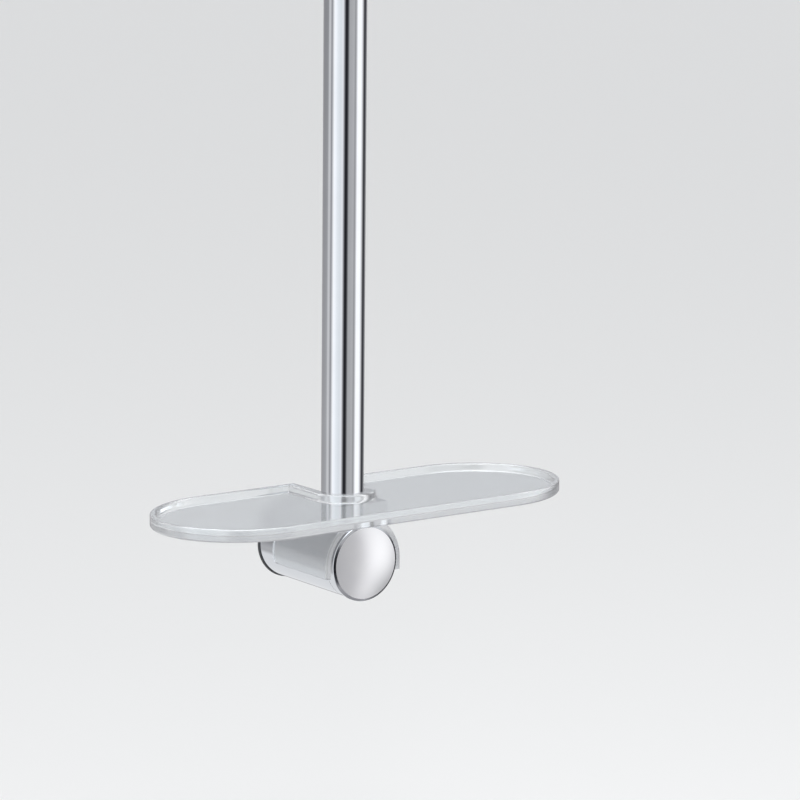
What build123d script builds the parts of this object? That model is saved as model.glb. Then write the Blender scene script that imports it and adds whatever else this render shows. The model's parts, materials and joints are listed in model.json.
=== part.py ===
from build123d import *
import os
from math import sqrt

# A wall rail of chromed tube between two identical brackets, with a clear soap tray that straddles
# the lower bracket. +Z runs up the rail, the wall is the plane Y = 0 and the object stands out
# towards -Y. The origin is the centre of the lower bracket's wall face. Millimetres.

# ---- rail ----
BRACKET_SPACING = 610.0  # between the two brackets' axes, and so between the wall screws
RAIL_DIAMETER = 22.0
RAIL_WALL = 1.5
RAIL_STANDOFF = 48.5  # rail axis to wall

# ---- bracket body: a horizontal round bar, hollow at the wall end, with a blind socket for the rail ----
BRACKET_DIAMETER = 38.8
GASKET_THICKNESS = 1.0
GASKET_OVERHANG = 0.6  # the gasket shows this far round the body
BODY_RIM_WALL = 2.8  # body metal round the hub's flange
BODY_WALL = 4.8  # body metal round the hub's boss
SOCKET_BACK_WALL = 6.0  # body metal between the hub and the socket
HUB_FLANGE_THICKNESS = 3.0
HUB_BASE = 6.0  # solid floor of the hub, under the wall screw's head
HUB_WALL = 4.0
WALL_SCREW_HOLE = 5.5
HUB_CLEARANCE = 0.2
SHOULDER_WALL = 1.0  # body metal in front of the socket, behind the cap
SOCKET_FLOOR = 7.0  # metal left under the socket
BUSH_WALL = 1.2
FIT = 0.05  # radial clearance of pieces that are pushed together
BUSH_TOP_SETBACK = 0.8  # the bush ends this far inside the body's curved top

# ---- front neck and cap ----
CAP_SKIRT_WALL = 2.8
NECK_LENGTH = 5.7
CAP_SKIRT_DEPTH = 6.0  # how far the skirt overlaps the neck
CAP_SEAM = 0.2
CAP_SIDE = 7.6  # seam to the start of the domed front
CAP_DOME_RISE = 3.0
CAP_OVERHANG = 0.6  # the cap's front disc is this much larger than the body, all round
CAP_DISC_THICKNESS = 2.6
CAP_BEVEL = 1.4  # width of the bevel round the domed front
CAP_BEVEL_DEPTH = 0.8
CAP_EDGE_ROUNDING = 0.4
CAP_CROWN = 2.5  # thickness of the domed front at its middle
CAP_CLEARANCE = 0.2
RING_SECTION = 1.8  # diameter of the round seal's section
RING_GROOVE_WIDTH = 2.2
RING_FROM_SHOULDER = 2.9
RING_RUNNING = 0.1  # seal to the cap's skirt

# ---- screws ----
CLAMP_SCREW_DIAMETER = 6.0
CLAMP_SCREW_LENGTH = 5.0
CLAMP_SCREW_HEX = 3.0
CLAMP_SHOE_LENGTH = 1.8
LOCK_SCREW_DIAMETER = 5.0
LOCK_SCREW_LENGTH = 6.0
LOCK_SCREW_HEX = 2.5
LOCK_SCREW_FROM_WALL = 18.0
LOCK_SCREW_BITE = 2.0  # how far it enters the hub
LOCK_HOLE_SPARE = 0.5  # empty depth beyond the lock screw's tip
HEX_DEPTH = 2.5

# ---- end plug of the rail ----
PLUG_FLANGE = 1.5
PLUG_SHANK = 10.0
PLUG_WALL = 2.0

# ---- soap tray ----
TRAY_LENGTH = 240.0
TRAY_DEPTH = 87.0
TRAY_BACK_FROM_WALL = 21.0
TRAY_END_REACH = 50.0  # length of each half-elliptical end
TRAY_HEIGHT = 6.8
TRAY_FLOOR = 2.6
TRAY_RIM = 3.2
TRAY_TOP_ROUNDING = 1.1
TRAY_UNDER_ROUNDING = 1.6
DISH_ROUNDING = 1.5  # where the dish's floor meets its walls
TRAY_ABOVE_BRACKET = 9.0  # tray underside above the top of the bracket
RAIL_RUNNING_GAP = 0.3  # rail to tray, all round
COLLAR_WALL = 6.0

# ---- under the tray, moulded with it: a neck and the saddle over the bracket ----
SADDLE_GAP = 0.5  # saddle to the cap's disc
SADDLE_WALL = 2.9
SADDLE_SETBACK = 1.9  # the cap's disc shows this far in front of the saddle
SADDLE_FROM_WALL = 19.0
SADDLE_LEG = 6.2  # straight legs below the bracket's axis
SADDLE_BACK_ROUNDING = 4.0
SADDLE_EDGE_ROUNDING = 0.9
NECK_SIDE_WALL = 4.0  # beside the rail
NECK_SETBACK = 0.9  # the neck starts this far behind the saddle's front

# ---- derived places ----
RAIL_R = RAIL_DIAMETER / 2
RAIL_BORE_R = RAIL_R - RAIL_WALL
BRACKET_R = BRACKET_DIAMETER / 2
CAP_R = BRACKET_R + CAP_OVERHANG
BUSH_BORE_R = RAIL_R + FIT
BUSH_R = BUSH_BORE_R + BUSH_WALL
SOCKET_R = BUSH_R + FIT
SOCKET_BOTTOM = SOCKET_FLOOR - BRACKET_R
BUSH_TOP = sqrt(BRACKET_R**2 - SOCKET_R**2) - BUSH_TOP_SETBACK
RAIL_END = SOCKET_BOTTOM + PLUG_FLANGE
SHOULDER_Y = -(RAIL_STANDOFF + SOCKET_R + SHOULDER_WALL)
NECK_FRONT_Y = SHOULDER_Y - NECK_LENGTH
CAP_BACK_Y = SHOULDER_Y - CAP_SEAM
CAP_EDGE_Y = CAP_BACK_Y - CAP_SIDE
CAP_SKIRT_BORE_R = BRACKET_R - CAP_SKIRT_WALL
NECK_R = CAP_SKIRT_BORE_R - CAP_CLEARANCE
HUB_R = BRACKET_R - BODY_WALL - HUB_CLEARANCE
HUB_FLANGE_R = BRACKET_R - BODY_RIM_WALL - HUB_CLEARANCE
HUB_DEPTH = RAIL_STANDOFF - SOCKET_R - SOCKET_BACK_WALL - HUB_CLEARANCE
CLAMP_R = CLAMP_SCREW_DIAMETER / 2
LOCK_R = LOCK_SCREW_DIAMETER / 2
LOCK_TIP_Z = LOCK_SCREW_BITE - HUB_R

TRAY_BACK_Y = -TRAY_BACK_FROM_WALL
TRAY_MIDDLE_Y = TRAY_BACK_Y - TRAY_DEPTH / 2
TRAY_UNDER_Z = BRACKET_R + TRAY_ABOVE_BRACKET
TRAY_FLOOR_Z = TRAY_UNDER_Z + TRAY_FLOOR
TRAY_TOP_Z = TRAY_UNDER_Z + TRAY_HEIGHT
NOTCH_R = RAIL_R + RAIL_RUNNING_GAP
COLLAR_R = NOTCH_R + COLLAR_WALL
SADDLE_BORE_R = CAP_R + SADDLE_GAP
SADDLE_R = SADDLE_BORE_R + SADDLE_WALL
SADDLE_FRONT_Y = CAP_EDGE_Y + SADDLE_SETBACK
SADDLE_BACK_Y = -SADDLE_FROM_WALL


def span_y(radius, back, front):
    """A round bar along Y between two places."""
    return Pos(0, (back + front) / 2, 0) * Rot(90, 0, 0) * Cylinder(radius, back - front)


def span_z(radius, low, high):
    """A round bar along Z between two heights, on the Z axis."""
    return Pos(0, 0, (low + high) / 2) * Cylinder(radius, high - low)


def block(width, back, front, low, high, x=0.0):
    """A box centred on x, between two places along Y and two heights."""
    place = Pos(x, (back + front) / 2, (low + high) / 2)
    return place * Box(width, back - front, high - low)


def at_rail(shape):
    """The same shape moved from the Z axis to the rail's axis."""
    return Pos(0, -RAIL_STANDOFF, 0) * shape


def hex_key(across_flats, depth):
    """The recess that a hexagon key fits, along Z, centred."""
    return extrude(RegularPolygon(across_flats / 2, 6, major_radius=False), depth / 2, both=True)


# ---------------------------------------------------------------- rail and its end fittings


def rail_tube():
    low = RAIL_END
    high = BRACKET_SPACING - RAIL_END
    return at_rail(span_z(RAIL_R, low, high) - span_z(RAIL_BORE_R, low, high))


def rail_plug():
    """Closes the tube's end and stands on the socket's floor."""
    shank_r = RAIL_BORE_R - FIT
    top = RAIL_END + PLUG_SHANK
    plug = span_z(RAIL_R, SOCKET_BOTTOM, RAIL_END)
    plug += span_z(shank_r, RAIL_END, top)
    plug -= span_z(shank_r - PLUG_WALL, RAIL_END, top)
    return at_rail(plug)


def rail_bush():
    """Sleeve between the tube and the socket, with a window for the clamp shoe."""
    sleeve = span_z(BUSH_R, SOCKET_BOTTOM, BUSH_TOP)
    sleeve -= span_z(BUSH_BORE_R, SOCKET_BOTTOM, BUSH_TOP)
    return at_rail(sleeve) - span_y(CLAMP_R + FIT, -RAIL_STANDOFF, SHOULDER_Y)


# ---------------------------------------------------------------- bracket


def bracket_body():
    body = span_y(BRACKET_R, -GASKET_THICKNESS, SHOULDER_Y)
    body += span_y(NECK_R, SHOULDER_Y, NECK_FRONT_Y)
    body -= span_y(HUB_R + HUB_CLEARANCE, -GASKET_THICKNESS, -HUB_DEPTH - HUB_CLEARANCE)
    flange_back = -HUB_FLANGE_THICKNESS - HUB_CLEARANCE
    body -= span_y(HUB_FLANGE_R + HUB_CLEARANCE, -GASKET_THICKNESS, flange_back)
    body -= at_rail(span_z(SOCKET_R, SOCKET_BOTTOM, BRACKET_R))
    body -= span_y(CLAMP_R + FIT, -RAIL_STANDOFF, NECK_FRONT_Y)
    groove_y = SHOULDER_Y - RING_FROM_SHOULDER
    groove = span_y(NECK_R, groove_y + RING_GROOVE_WIDTH / 2, groove_y - RING_GROOVE_WIDTH / 2)
    body -= groove - span_y(ring_inner_radius() - FIT, groove_y + NECK_LENGTH, groove_y - NECK_LENGTH)
    lock_hole = Pos(0, -LOCK_SCREW_FROM_WALL, 0) * span_z(LOCK_R + FIT, -BRACKET_R, -HUB_R)
    return body - lock_hole


def wall_hub():
    """Plastic hub that the wall screw holds; the bracket body is pushed over it."""
    hub = span_y(HUB_R, 0, -HUB_DEPTH)
    hub += span_y(HUB_FLANGE_R, 0, -HUB_FLANGE_THICKNESS)
    hub -= span_y(HUB_R - HUB_WALL, -HUB_BASE, -HUB_DEPTH)
    hub -= span_y(WALL_SCREW_HOLE / 2, 0, -HUB_BASE)
    pocket_top = LOCK_TIP_Z + LOCK_HOLE_SPARE
    return hub - Pos(0, -LOCK_SCREW_FROM_WALL, 0) * span_z(LOCK_R + FIT, -HUB_R, pocket_top)


def wall_gasket():
    inner = HUB_FLANGE_R + HUB_CLEARANCE
    outer = BRACKET_R + GASKET_OVERHANG
    return span_y(outer, 0, -GASKET_THICKNESS) - span_y(inner, 0, -GASKET_THICKNESS)


def clamp_shoe():
    """Nylon pad between the clamp screw's tip and the tube, hollowed to the tube's round."""
    tip_y = -RAIL_STANDOFF - RAIL_R - CLAMP_SHOE_LENGTH
    return span_y(CLAMP_R, -RAIL_STANDOFF, tip_y) - at_rail(span_z(BUSH_BORE_R, -BRACKET_R, BRACKET_R))


def clamp_screw():
    """Headless screw behind the cap."""
    tip_y = -RAIL_STANDOFF - RAIL_R - CLAMP_SHOE_LENGTH
    end_y = tip_y - CLAMP_SCREW_LENGTH
    key = Pos(0, end_y, 0) * Rot(90, 0, 0) * hex_key(CLAMP_SCREW_HEX, 2 * HEX_DEPTH)
    return span_y(CLAMP_R, tip_y, end_y) - key


def lock_screw():
    """Headless screw from below that keeps the body on the hub."""
    end_z = LOCK_TIP_Z - LOCK_SCREW_LENGTH
    screw = span_z(LOCK_R, end_z, LOCK_TIP_Z) - Pos(0, 0, end_z) * hex_key(LOCK_SCREW_HEX, 2 * HEX_DEPTH)
    return Pos(0, -LOCK_SCREW_FROM_WALL, 0) * screw


def ring_inner_radius():
    return CAP_SKIRT_BORE_R - RING_RUNNING - RING_SECTION


def cap_ring():
    """Round seal in the neck's groove that grips the cap."""
    middle_r = ring_inner_radius() + RING_SECTION / 2
    ring = Torus(middle_r, RING_SECTION / 2)
    return Pos(0, SHOULDER_Y - RING_FROM_SHOULDER, 0) * Rot(90, 0, 0) * ring


def front_cap():
    """Cover whose skirt slips over the neck: flush with the body, then a domed disc with a bevel."""
    bore_r = CAP_SKIRT_BORE_R
    dome_r = CAP_R - CAP_BEVEL
    crown_y = CAP_EDGE_Y - CAP_DOME_RISE
    skirt_floor = CAP_BACK_Y - CAP_SKIRT_DEPTH
    disc_back = CAP_EDGE_Y + CAP_DISC_THICKNESS
    outline = Polyline((0, crown_y + CAP_CROWN), (bore_r / 2, skirt_floor), (bore_r, skirt_floor))
    outline += Polyline((bore_r, skirt_floor), (bore_r, CAP_BACK_Y), (BRACKET_R, CAP_BACK_Y))
    outline += Polyline((BRACKET_R, CAP_BACK_Y), (BRACKET_R, disc_back), (CAP_R, disc_back))
    bevel_back = CAP_EDGE_Y + CAP_BEVEL_DEPTH
    outline += Polyline((CAP_R, disc_back), (CAP_R, bevel_back), (dome_r, CAP_EDGE_Y))
    outline += dome_arc(dome_r, CAP_EDGE_Y, crown_y)
    outline += Line((0, crown_y), (0, crown_y + CAP_CROWN))
    cap = revolve(make_face(outline), Axis.Y)
    disc_edges = cap.edges().filter_by(GeomType.CIRCLE).sort_by(lambda edge: edge.radius)[-2:]
    return fillet(disc_edges, CAP_EDGE_ROUNDING)


def dome_arc(edge_r, edge_y, crown_y):
    """Arc of a large sphere from the edge to the crown, square to the axis there."""
    rise = edge_y - crown_y
    sphere_r = (edge_r**2 + rise**2) / (2 * rise)
    half_r = edge_r / 2
    half_y = crown_y + sphere_r - sqrt(sphere_r**2 - half_r**2)
    return ThreePointArc((edge_r, edge_y), (half_r, half_y), (0, crown_y))


# ---------------------------------------------------------------- soap tray


def tray_plan(inset):
    """Plan of the tray drawn in all round: straight sides, half-elliptical ends."""
    straight = TRAY_LENGTH / 2 - TRAY_END_REACH
    reach = TRAY_END_REACH - inset
    half_depth = TRAY_DEPTH / 2 - inset
    right = EllipticalCenterArc((straight, TRAY_MIDDLE_Y), reach, half_depth, start_angle=-90, arc_size=180)
    left = EllipticalCenterArc((-straight, TRAY_MIDDLE_Y), reach, half_depth, start_angle=90, arc_size=180)
    return make_face([right, Line(right @ 1, left @ 0), left, Line(left @ 1, right @ 0)])


def rail_slot(radius, back, low, high):
    """U-shaped space round the rail, open towards the wall."""
    round_end = at_rail(span_z(radius, low, high))
    return round_end + block(2 * radius, back, -RAIL_STANDOFF, low, high)


def tray_dish():
    """The tray itself, with a raised wall round the rail's slot."""
    tray = Pos(0, 0, TRAY_UNDER_Z) * extrude(tray_plan(0), TRAY_HEIGHT)
    tray = fillet(tray.edges().group_by(Axis.Z)[0], TRAY_UNDER_ROUNDING)
    hollow = Pos(0, 0, TRAY_FLOOR_Z) * extrude(tray_plan(TRAY_RIM), TRAY_HEIGHT)
    hollow -= rail_slot(COLLAR_R, 0, TRAY_FLOOR_Z, TRAY_TOP_Z + TRAY_HEIGHT)
    hollow = fillet(hollow.edges().group_by(Axis.Z)[0], DISH_ROUNDING)
    tray -= hollow
    tray -= rail_slot(NOTCH_R, 0, TRAY_UNDER_Z, TRAY_TOP_Z)
    return fillet(tray.edges().group_by(Axis.Z)[-1], TRAY_TOP_ROUNDING)


def tray_saddle():
    """Arch over the bracket with straight legs, open to the wall above so that the rail can enter."""
    saddle = span_y(SADDLE_R, SADDLE_BACK_Y, SADDLE_FRONT_Y)
    saddle -= block(2 * SADDLE_R, SADDLE_BACK_Y, SADDLE_FRONT_Y, -SADDLE_R, 0)
    saddle += block(2 * SADDLE_R, SADDLE_BACK_Y, SADDLE_FRONT_Y, -SADDLE_LEG, 0)
    low_back = saddle.edges().filter_by(Axis.X).group_by(Axis.Z)[0].sort_by(Axis.Y)[-1]
    saddle = fillet(low_back, SADDLE_BACK_ROUNDING)
    front_edges = saddle.faces().sort_by(Axis.Y)[0].edges()
    feet = front_edges.group_by(Axis.Z)[0]
    saddle = fillet(front_edges - feet, SADDLE_EDGE_ROUNDING)
    neck_width = 2 * (NOTCH_R + NECK_SIDE_WALL)
    neck_back = -RAIL_STANDOFF + NOTCH_R
    neck_front = SADDLE_FRONT_Y + NECK_SETBACK
    saddle += block(neck_width, neck_back, neck_front, 0, TRAY_UNDER_Z + TRAY_FLOOR / 2)
    saddle -= span_y(SADDLE_BORE_R, SADDLE_BACK_Y, SADDLE_FRONT_Y)
    saddle -= block(2 * SADDLE_BORE_R, SADDLE_BACK_Y, SADDLE_FRONT_Y, -SADDLE_LEG, 0)
    return saddle - rail_slot(NOTCH_R, 0, 0, TRAY_TOP_Z)


def soap_tray():
    """One clear moulding: the dish, the neck under it and the saddle."""
    return tray_dish() + tray_saddle()


PIECES = {
    "bracket_body": bracket_body,
    "wall_hub": wall_hub,
    "wall_gasket": wall_gasket,
    "rail_bush": rail_bush,
    "rail_plug": rail_plug,
    "clamp_shoe": clamp_shoe,
    "clamp_screw": clamp_screw,
    "lock_screw": lock_screw,
    "cap_ring": cap_ring,
    "front_cap": front_cap,
}

# The upper bracket is the lower one turned half a turn about its own axis, so that its socket opens down.
PLACES = {
    "lower": Pos(0, 0, 0),
    "upper": Pos(0, 0, BRACKET_SPACING) * Rot(0, 180, 0),
}

os.makedirs("parts", exist_ok=True)
for end, place in PLACES.items():
    for piece, make in PIECES.items():
        export_step(place * make(), f"parts/{end}_{piece}.step")
export_step(rail_tube(), "parts/rail_tube.step")
export_step(soap_tray(), "parts/soap_tray.step")
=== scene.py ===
import json
import math

import bpy
from mathutils import Matrix, Vector


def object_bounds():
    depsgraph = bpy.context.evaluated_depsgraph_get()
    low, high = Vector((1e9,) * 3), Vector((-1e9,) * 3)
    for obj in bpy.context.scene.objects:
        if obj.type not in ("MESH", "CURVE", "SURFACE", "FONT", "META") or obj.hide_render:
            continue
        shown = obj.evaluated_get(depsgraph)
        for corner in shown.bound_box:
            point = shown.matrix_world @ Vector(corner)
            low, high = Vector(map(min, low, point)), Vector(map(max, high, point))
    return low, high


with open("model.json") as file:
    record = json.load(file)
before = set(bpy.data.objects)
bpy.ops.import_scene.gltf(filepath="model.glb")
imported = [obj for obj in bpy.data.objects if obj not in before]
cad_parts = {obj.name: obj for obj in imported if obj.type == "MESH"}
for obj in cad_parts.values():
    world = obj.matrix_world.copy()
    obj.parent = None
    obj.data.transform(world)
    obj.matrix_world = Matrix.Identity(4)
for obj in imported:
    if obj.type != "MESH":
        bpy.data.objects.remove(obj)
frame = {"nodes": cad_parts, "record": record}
CAD_BOX = [list(corner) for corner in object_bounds()]

MM = 0.001
BRACKET_SPACING_MM = 610.0
FACE_RADIUS_MM = 18.5  # the satin face of each cap ends here, where its bevel starts
FACE_BLEND_MM = 0.3
BEVEL_ROUGHNESS = 0.04

# ---- where the viewer stands, in the part's frame; angles in degrees ----
VIEW_AZIMUTH = -36.48
VIEW_ELEVATION = 10.10
VIEW_ROLL = 0.55
VIEW_PLACE_MM = (-938.08, -1366.45, 370.28)
VIEW_LENS = 144.0

# ---- stage ----
FLOOR_DROP_MM = 300.0
FLOOR_SIZE_MM = 40000.0
FLOOR_ROUGHNESS = 0.9
ROOM_GREY = "#E6E7E8"
FLOOR_GREY = "#F0F0F0"
KEY_LIGHT_PLACE_MM = (-600, -1500, 1500)
KEY_LIGHT_AIM_MM = (0, 0, 200)
KEY_LIGHT_SIZE_MM = 900
KEY_LIGHT_WATTS = 30

# ---- the studio that only reflections show ----
LEFT_WALL_SHADE = "#7A7A7D"
RIGHT_WALL = "#9FA1A5"
LOW_WALL = "#D0D1D3"
LOW_RIGHT = "#444447"
HIGH_RIGHT = "#C2C4C7"
STUDIO_FLOOR = "#8A8A8D"
STUDIO_CEILING = "#CDD0D3"
MIRROR_GAIN = 1.35  # makes up for the light that chrome keeps
CEILING_GAIN = 5.0  # a bright soft box overhead, for the highlights on rounded edges

# Where each zone of the studio starts and where it is full, along one axis of a direction one long:
# X runs right along the wall, Y into the wall and Z up.
INTO_WALL = (0.55, 0.70)
INTO_ROOM = (0.55, 0.35)
WALL_LEFT = (0.25, -0.05)
WALL_LEFT_RISE = (-0.26, 0.02)
WALL_RIGHT = (0.25, 0.50)
WALL_RIGHT_RISE = (-0.05, 0.10)
WALL_FOOT = (-0.36, -0.44)
ROOM_RIGHT = (0.50, 0.80)
ROOM_FOOT = (-0.25, -0.60)
ROOM_HEAD = (0.0, 0.45)
FLOOR_ZONE = (-0.62, -0.85)
CEILING_ZONE = (0.60, 0.80)
CEILING_BOX_ZONE = (0.84, 0.93)

# What chrome sees, turning right from the viewer, in degrees: the soft boxes and dark flags of the
# studio, each with the grey it shows.
STUDIO_BANDS = [
    (-160, "#949497"),
    (-150, "#9C9C9E"),
    (-124, "#A0A0A2"),
    (-104, "#ACACAE"),
    (-92, "#CCCCCE"),
    (-82, "#BCBCBE"),
    (-72, "#86868A"),
    (-64, "#C6C6C8"),
    (-56, "#F6F7F9"),
    (-47, "#F2F4F8"),
    (-36, "#E2E6EA"),
    (-20, "#D8DCE0"),
    (-9, "#E2E3E7"),
    (-2, "#8C8C90"),
    (4, "#2C2C30"),
    (12, "#1A1A1E"),
    (18, "#4C4C50"),
    (25, "#A2A2A4"),
    (50, "#ACACAE"),
    (59, "#909092"),
    (66, "#C0C0C2"),
    (73, "#FAFAFC"),
    (94, "#FDFEFF"),
    (104, "#E2E2E4"),
    (113, "#9A9A9C"),
    (122, "#404044"),
    (136, "#323236"),
    (152, "#8A8A8C"),
]

# ---- numbers of the Mix node's sockets, several of which share a name ----
FACTOR = 0
NUMBER_A = 2
NUMBER_B = 3
COLOUR_A = 6
COLOUR_B = 7
COLOUR_RESULT = 2


def linear(hex_colour):
    """sRGB hex to the linear colour that shaders take."""
    channels = [int(hex_colour[i : i + 2], 16) / 255 for i in (1, 3, 5)]
    return [c / 12.92 if c <= 0.04045 else ((c + 0.055) / 1.055) ** 2.4 for c in channels] + [1.0]


def add_node(tree, kind, settings=None, links=None):
    """Adds a node, sets its properties and input values, and links inputs from other outputs."""
    node = tree.nodes.new(kind)
    for name, value in (settings or {}).items():
        if isinstance(name, int) or name in node.inputs:
            node.inputs[name].default_value = value
        else:
            setattr(node, name, value)
    for name, source in (links or {}).items():
        tree.links.new(source, node.inputs[name])
    return node


def new_material(name):
    """A material with an empty node tree."""
    material = bpy.data.materials.new(name)
    material.use_nodes = True
    tree = material.node_tree
    tree.nodes.clear()
    return material, tree


def surface(tree, shader):
    """Links the shader to the material's output."""
    add_node(tree, "ShaderNodeOutputMaterial", links={"Surface": shader.outputs["BSDF"]})


# ---------------------------------------------------------------- stage


def ramp_between(tree, value, start, end):
    """0 where the value is at start, 1 where it is at end."""
    node = add_node(tree, "ShaderNodeMapRange", {"From Min": start, "From Max": end}, {"Value": value})
    return node.outputs["Result"]


def both_of(tree, first, second):
    """Full only where both are."""
    return add_node(tree, "ShaderNodeMath", {"operation": "MULTIPLY"}, {0: first, 1: second}).outputs[0]


def fade_to(tree, colour, grey, amount):
    """The colour, turned into the grey by the amount."""
    settings = {"data_type": "RGBA", COLOUR_B: linear(grey)}
    mix = add_node(tree, "ShaderNodeMix", settings, {FACTOR: amount, COLOUR_A: colour})
    return mix.outputs[COLOUR_RESULT]


def studio_bands(tree, direction):
    """The greys of the bands round the part."""
    around = add_node(tree, "ShaderNodeTexGradient", {"gradient_type": "RADIAL"}, {"Vector": direction})
    bands = add_node(tree, "ShaderNodeValToRGB", links={"Fac": around.outputs["Fac"]})
    ramp = bands.color_ramp
    viewer_turn = (VIEW_AZIMUTH - 90) / 360
    stops = sorted(((angle / 360 + viewer_turn + 0.5) % 1, grey) for angle, grey in STUDIO_BANDS)
    while len(ramp.elements) > 1:
        ramp.elements.remove(ramp.elements[0])
    ramp.elements[0].position, ramp.elements[0].color = stops[0][0], linear(stops[0][1])
    for position, grey in stops[1:]:
        ramp.elements.new(position).color = linear(grey)
    return bands.outputs["Color"]


def studio_zones(tree, colour, axes):
    """The bands, covered by the wall's shade and light, the right of the room, the floor and the
    ceiling."""
    right, inward, height = axes.outputs["X"], axes.outputs["Y"], axes.outputs["Z"]
    wall = ramp_between(tree, inward, *INTO_WALL)
    room = ramp_between(tree, inward, *INTO_ROOM)
    left_wall = both_of(tree, wall, ramp_between(tree, right, *WALL_LEFT))
    right_wall = both_of(tree, wall, ramp_between(tree, right, *WALL_RIGHT))
    far_right = both_of(tree, room, ramp_between(tree, right, *ROOM_RIGHT))
    covers = [
        (LEFT_WALL_SHADE, both_of(tree, left_wall, ramp_between(tree, height, *WALL_LEFT_RISE))),
        (RIGHT_WALL, both_of(tree, right_wall, ramp_between(tree, height, *WALL_RIGHT_RISE))),
        (LOW_WALL, both_of(tree, wall, ramp_between(tree, height, *WALL_FOOT))),
        (LOW_RIGHT, both_of(tree, far_right, ramp_between(tree, height, *ROOM_FOOT))),
        (HIGH_RIGHT, both_of(tree, far_right, ramp_between(tree, height, *ROOM_HEAD))),
        (STUDIO_FLOOR, ramp_between(tree, height, *FLOOR_ZONE)),
        (STUDIO_CEILING, ramp_between(tree, height, *CEILING_ZONE)),
    ]
    for grey, amount in covers:
        colour = fade_to(tree, colour, grey, amount)
    return colour


def build_world():
    """A plain pale room to look at, and a studio of soft boxes and flags that only reflections show."""
    world = bpy.data.worlds.new("soft_studio")
    bpy.context.scene.world = world
    world.use_nodes = True
    tree = world.node_tree
    tree.nodes.clear()
    direction = add_node(tree, "ShaderNodeTexCoord").outputs["Generated"]
    axes = add_node(tree, "ShaderNodeSeparateXYZ", links={"Vector": direction})
    colour = studio_zones(tree, studio_bands(tree, direction), axes)
    low, high = CEILING_BOX_ZONE
    gains = {"From Min": low, "From Max": high, "To Min": MIRROR_GAIN, "To Max": CEILING_GAIN}
    gain = add_node(tree, "ShaderNodeMapRange", gains, {"Value": axes.outputs["Z"]})
    seen = add_node(tree, "ShaderNodeBackground", {"Color": linear(ROOM_GREY), "Strength": 1.0})
    glow = {"Color": colour, "Strength": gain.outputs["Result"]}
    mirrored = add_node(tree, "ShaderNodeBackground", links=glow)
    ray = add_node(tree, "ShaderNodeLightPath")
    over_half = {"operation": "GREATER_THAN", 1: 0.5}
    reflects = add_node(tree, "ShaderNodeMath", over_half, {0: ray.outputs["Glossy Depth"]})
    both = add_node(tree, "ShaderNodeMixShader", links={0: reflects.outputs[0]})
    tree.links.new(seen.outputs[0], both.inputs[1])
    tree.links.new(mirrored.outputs[0], both.inputs[2])
    add_node(tree, "ShaderNodeOutputWorld", links={"Surface": both.outputs[0]})


def build_floor():
    """A wide, plain, pale floor well below the part, left out of mirrors and of clear plastic."""
    low_z = CAD_BOX[0][2] - FLOOR_DROP_MM * MM
    bpy.ops.object.select_all(action="DESELECT")
    bpy.ops.mesh.primitive_plane_add(size=FLOOR_SIZE_MM * MM, location=(0, 0, low_z))
    floor = bpy.context.object
    floor.name = "floor"
    material, tree = new_material("matt_white_floor")
    paint = {"Base Color": linear(FLOOR_GREY), "Roughness": FLOOR_ROUGHNESS}
    surface(tree, add_node(tree, "ShaderNodeBsdfPrincipled", paint))
    floor.data.materials.append(material)
    floor.visible_glossy = False
    floor.visible_transmission = False


def soft_box(name, place_mm, aim_mm, size_mm, watts):
    """A square area light that faces a point and doesn't show in mirrors."""
    data = bpy.data.lights.new(name, "AREA")
    data.size = size_mm * MM
    data.energy = watts
    lamp = bpy.data.objects.new(name, data)
    bpy.context.scene.collection.objects.link(lamp)
    place = Vector(place_mm) * MM
    lamp.location = place
    lamp.rotation_mode = "QUATERNION"
    lamp.rotation_quaternion = (place - Vector(aim_mm) * MM).to_track_quat("Z", "Y")
    lamp.visible_glossy = False


def build_camera():
    """A camera at the viewer's place, turned by its azimuth, elevation and roll."""
    azimuth, elevation, roll = (math.radians(v) for v in (VIEW_AZIMUTH, VIEW_ELEVATION, VIEW_ROLL))
    back = Vector(
        (
            math.sin(azimuth) * math.cos(elevation),
            -math.cos(azimuth) * math.cos(elevation),
            math.sin(elevation),
        )
    )
    level = Vector((math.cos(azimuth), math.sin(azimuth), 0))
    up = back.cross(level)
    right = level * math.cos(roll) + up * math.sin(roll)
    top = up * math.cos(roll) - level * math.sin(roll)
    camera = bpy.data.objects.new("camera", bpy.data.cameras.new("camera"))
    bpy.context.scene.collection.objects.link(camera)
    turn = Matrix((right, top, back)).transposed().to_4x4()
    camera.matrix_world = Matrix.Translation(Vector(VIEW_PLACE_MM) * MM) @ turn
    camera.data.lens = VIEW_LENS
    bpy.context.scene.camera = camera


# ---------------------------------------------------------------- materials


def per_mm(size_mm):
    """The noise scale whose clouds are about this size."""
    return 1 / (size_mm * MM)


def noise(tree, size_mm, detail=3.0, stretch=None):
    """Even cloud pattern over the object, in real sizes, drawn out by the stretch along X, Y and Z."""
    place = add_node(tree, "ShaderNodeTexCoord").outputs["Object"]
    if stretch:
        drawn_out = add_node(tree, "ShaderNodeMapping", {"Scale": stretch}, {"Vector": place})
        place = drawn_out.outputs["Vector"]
    cloud = {"Scale": per_mm(size_mm), "Detail": detail}
    return add_node(tree, "ShaderNodeTexNoise", cloud, {"Vector": place}).outputs["Fac"]


def spread(tree, value, low, high):
    """Turns the middle of a noise, where nearly all of it lies, into the range from low to high."""
    limits = {"From Min": 0.3, "From Max": 0.7, "To Min": low, "To Max": high}
    return add_node(tree, "ShaderNodeMapRange", limits, {"Value": value}).outputs["Result"]


def two_tones(tree, value, first, second):
    """A colour between two, by a noise."""
    settings = {"data_type": "RGBA", COLOUR_A: linear(first), COLOUR_B: linear(second)}
    mix = add_node(tree, "ShaderNodeMix", settings, {FACTOR: spread(tree, value, low=0.0, high=1.0)})
    return mix.outputs[COLOUR_RESULT]


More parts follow.
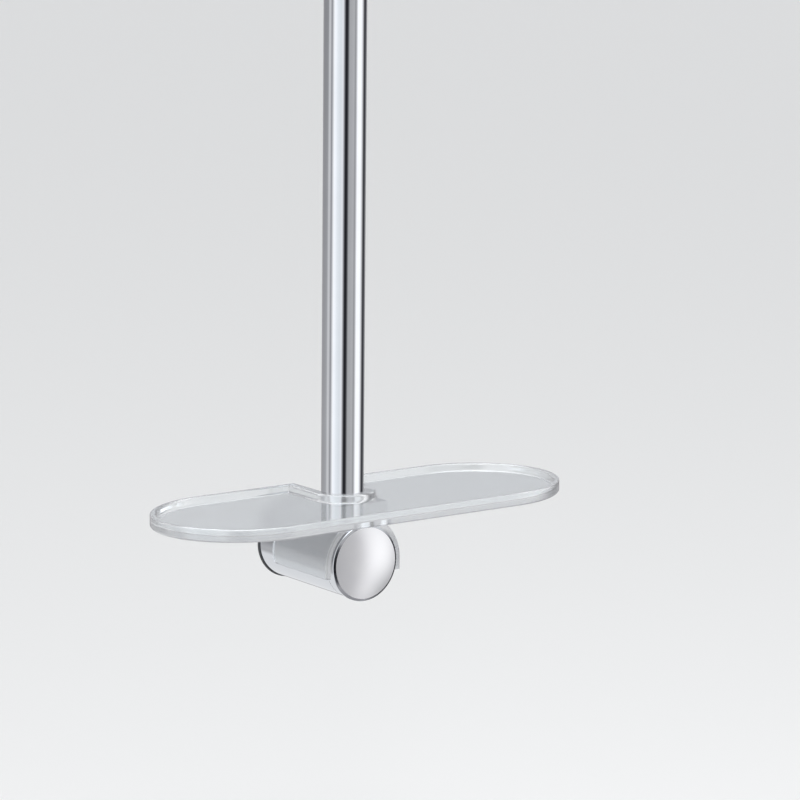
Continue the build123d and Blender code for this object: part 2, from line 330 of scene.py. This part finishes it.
def relief(tree, height, depth_mm, strength=1.0):
    """Bumps of the height's shape, as deep as this in real size."""
    settings = {"Strength": strength, "Distance": depth_mm * MM}
    return add_node(tree, "ShaderNodeBump", settings, {"Height": height}).outputs["Normal"]


def polished_chrome():
    """Chrome plate on drawn brass tube: a cold mirror. The draw lines left under the plate are so
    long and low that they only soften a reflection here and there, as wiping does. They are drawn
    wider apart than real ones, so that they show at all."""
    material, tree = new_material("polished_chrome")
    wiped = noise(tree, size_mm=18.0, detail=4.0)
    drawn = noise(tree, size_mm=1.2, detail=2.0, stretch=(1.0, 1.0, 0.02))
    shader = add_node(
        tree,
        "ShaderNodeBsdfPrincipled",
        {"Metallic": 1.0},
        {
            "Base Color": two_tones(tree, wiped, "#DDDFE2", "#E1E3E6"),
            "Roughness": spread(tree, wiped, low=0.025, high=0.06),
            "Normal": relief(tree, drawn, depth_mm=0.0005),
        },
    )
    surface(tree, shader)
    return material


def from_bracket_axis(tree):
    """Distance from the nearer bracket's axis, in metres."""
    place = add_node(tree, "ShaderNodeTexCoord").outputs["Object"]
    parts = add_node(tree, "ShaderNodeSeparateXYZ", links={"Vector": place})
    middle = BRACKET_SPACING_MM * MM / 2
    off = add_node(tree, "ShaderNodeMath", {"operation": "SUBTRACT", 1: middle}, {0: parts.outputs["Z"]})
    either = add_node(tree, "ShaderNodeMath", {"operation": "ABSOLUTE"}, {0: off.outputs[0]})
    rise = add_node(tree, "ShaderNodeMath", {"operation": "SUBTRACT", 1: middle}, {0: either.outputs[0]})
    across = add_node(tree, "ShaderNodeCombineXYZ", links={"X": parts.outputs["X"], "Y": rise.outputs[0]})
    length = add_node(tree, "ShaderNodeVectorMath", {"operation": "LENGTH"}, {0: across.outputs[0]})
    return length.outputs["Value"]


def satin_chrome():
    """Chrome plate over a finely blasted zinc cap: the domed face glows softly and spreads each
    highlight, and its bevel and side are polished, so they draw thin dark and bright lines. The
    grit's grain is drawn coarser than the real one, so that it shows at all."""
    material, tree = new_material("satin_chrome")
    blasted = noise(tree, size_mm=12.0, detail=4.0)
    grit = noise(tree, size_mm=0.25, detail=2.0)
    face_edge = FACE_RADIUS_MM * MM
    polished = ramp_between(tree, from_bracket_axis(tree), face_edge, face_edge + FACE_BLEND_MM * MM)
    rough = add_node(
        tree,
        "ShaderNodeMix",
        {"data_type": "FLOAT", NUMBER_B: BEVEL_ROUGHNESS},
        {FACTOR: polished, NUMBER_A: spread(tree, blasted, low=0.33, high=0.37)},
    )
    face = two_tones(tree, blasted, "#F1F1F3", "#F5F5F6")
    shader = add_node(
        tree,
        "ShaderNodeBsdfPrincipled",
        {"Metallic": 1.0},
        {
            "Base Color": fade_to(tree, face, "#DFE1E4", polished),
            "Roughness": rough.outputs[0],
            "Normal": relief(tree, grit, depth_mm=0.001, strength=0.5),
        },
    )
    surface(tree, shader)
    return material


def clear_plastic():
    """Injection-moulded SAN: a glossy skin that mirrors crisply over a slightly cloudy body, so that
    the rims catch light, the floor shows the rail upside down and what is behind is softened."""
    material, tree = new_material("frosted_clear_plastic")
    flow = noise(tree, size_mm=22.0, stretch=(0.35, 1.0, 1.0))
    shader = add_node(
        tree,
        "ShaderNodeBsdfPrincipled",
        {
            "Transmission Weight": 0.82,
            "IOR": 1.57,
            "Coat Weight": 1.0,
            "Coat Roughness": 0.02,
            "Coat IOR": 1.5,
        },
        {
            "Base Color": two_tones(tree, flow, "#F1F4F6", "#F5F7F8"),
            "Roughness": spread(tree, flow, low=0.10, high=0.15),
            "Normal": relief(tree, flow, depth_mm=0.02, strength=0.6),
        },
    )
    surface(tree, shader)
    return material


def grey_acetal():
    """Moulded grey acetal of the hubs: dull, slightly waxy, with the fine spark texture of its mould."""
    material, tree = new_material("grey_acetal")
    tone = noise(tree, size_mm=9.0)
    spark = noise(tree, size_mm=0.4, detail=2.0)
    shader = add_node(
        tree,
        "ShaderNodeBsdfPrincipled",
        {"IOR": 1.48},
        {
            "Base Color": two_tones(tree, tone, "#737577", "#7C7E80"),
            "Roughness": spread(tree, tone, low=0.42, high=0.55),
            "Normal": relief(tree, spark, depth_mm=0.03),
        },
    )
    surface(tree, shader)
    return material


def white_nylon():
    """Natural nylon of the bushes, plugs and clamp shoes: off-white, with a little light inside it."""
    material, tree = new_material("white_nylon")
    tone = noise(tree, size_mm=6.0)
    mould = noise(tree, size_mm=0.5, detail=2.0)
    shader = add_node(
        tree,
        "ShaderNodeBsdfPrincipled",
        {"IOR": 1.53, "Subsurface Weight": 0.15, "Subsurface Scale": 1.0 * MM},
        {
            "Base Color": two_tones(tree, tone, "#D8D7CF", "#E2E1DA"),
            "Roughness": spread(tree, tone, low=0.38, high=0.5),
            "Normal": relief(tree, mould, depth_mm=0.02),
        },
    )
    surface(tree, shader)
    return material


def grey_rubber():
    """Moulded silicone rubber of the gaskets and seals: dark grey and matt, with a faint bloom of
    dust."""
    material, tree = new_material("grey_rubber")
    dust = noise(tree, size_mm=4.0, detail=5.0)
    mould = noise(tree, size_mm=0.3, detail=2.0)
    shader = add_node(
        tree,
        "ShaderNodeBsdfPrincipled",
        {"IOR": 1.41},
        {
            "Base Color": two_tones(tree, dust, "#4E4F51", "#5C5D5F"),
            "Roughness": spread(tree, dust, low=0.6, high=0.8),
            "Normal": relief(tree, mould, depth_mm=0.03),
        },
    )
    surface(tree, shader)
    return material


def zinc_plated_steel():
    """Bright zinc on turned steel, for the headless screws: greyer than chrome, cloudy, and rough
    with fine tool marks."""
    material, tree = new_material("zinc_plated_steel")
    tone = noise(tree, size_mm=1.5, detail=4.0)
    turned = noise(tree, size_mm=0.2, detail=2.0)
    shader = add_node(
        tree,
        "ShaderNodeBsdfPrincipled",
        {"Metallic": 1.0},
        {
            "Base Color": two_tones(tree, tone, "#A9ABAE", "#BEC0C3"),
            "Roughness": spread(tree, tone, low=0.22, high=0.38),
            "Normal": relief(tree, turned, depth_mm=0.01),
        },
    )
    surface(tree, shader)
    return material


# ---------------------------------------------------------------- the scene

build_camera()
build_world()
build_floor()
soft_box("key_light", KEY_LIGHT_PLACE_MM, KEY_LIGHT_AIM_MM, KEY_LIGHT_SIZE_MM, KEY_LIGHT_WATTS)

bpy.context.scene.view_settings.view_transform = "Standard"

finishes = {
    "chrome": polished_chrome(),
    "satin_chrome": satin_chrome(),
    "clear_plastic": clear_plastic(),
    "grey_plastic": grey_acetal(),
    "white_plastic": white_nylon(),
    "rubber": grey_rubber(),
    "steel": zinc_plated_steel(),
}
slots = {entry["node"]: entry["material_slot"] for entry in frame["record"]["subparts"]}
for node, piece in frame["nodes"].items():
    piece.data.materials.clear()
    piece.data.materials.append(finishes[slots[node]])

# The tray is too clear to break the bright and dark stripes that the rail mirrors down to its foot.
frame["nodes"]["soap_tray"].visible_glossy = False
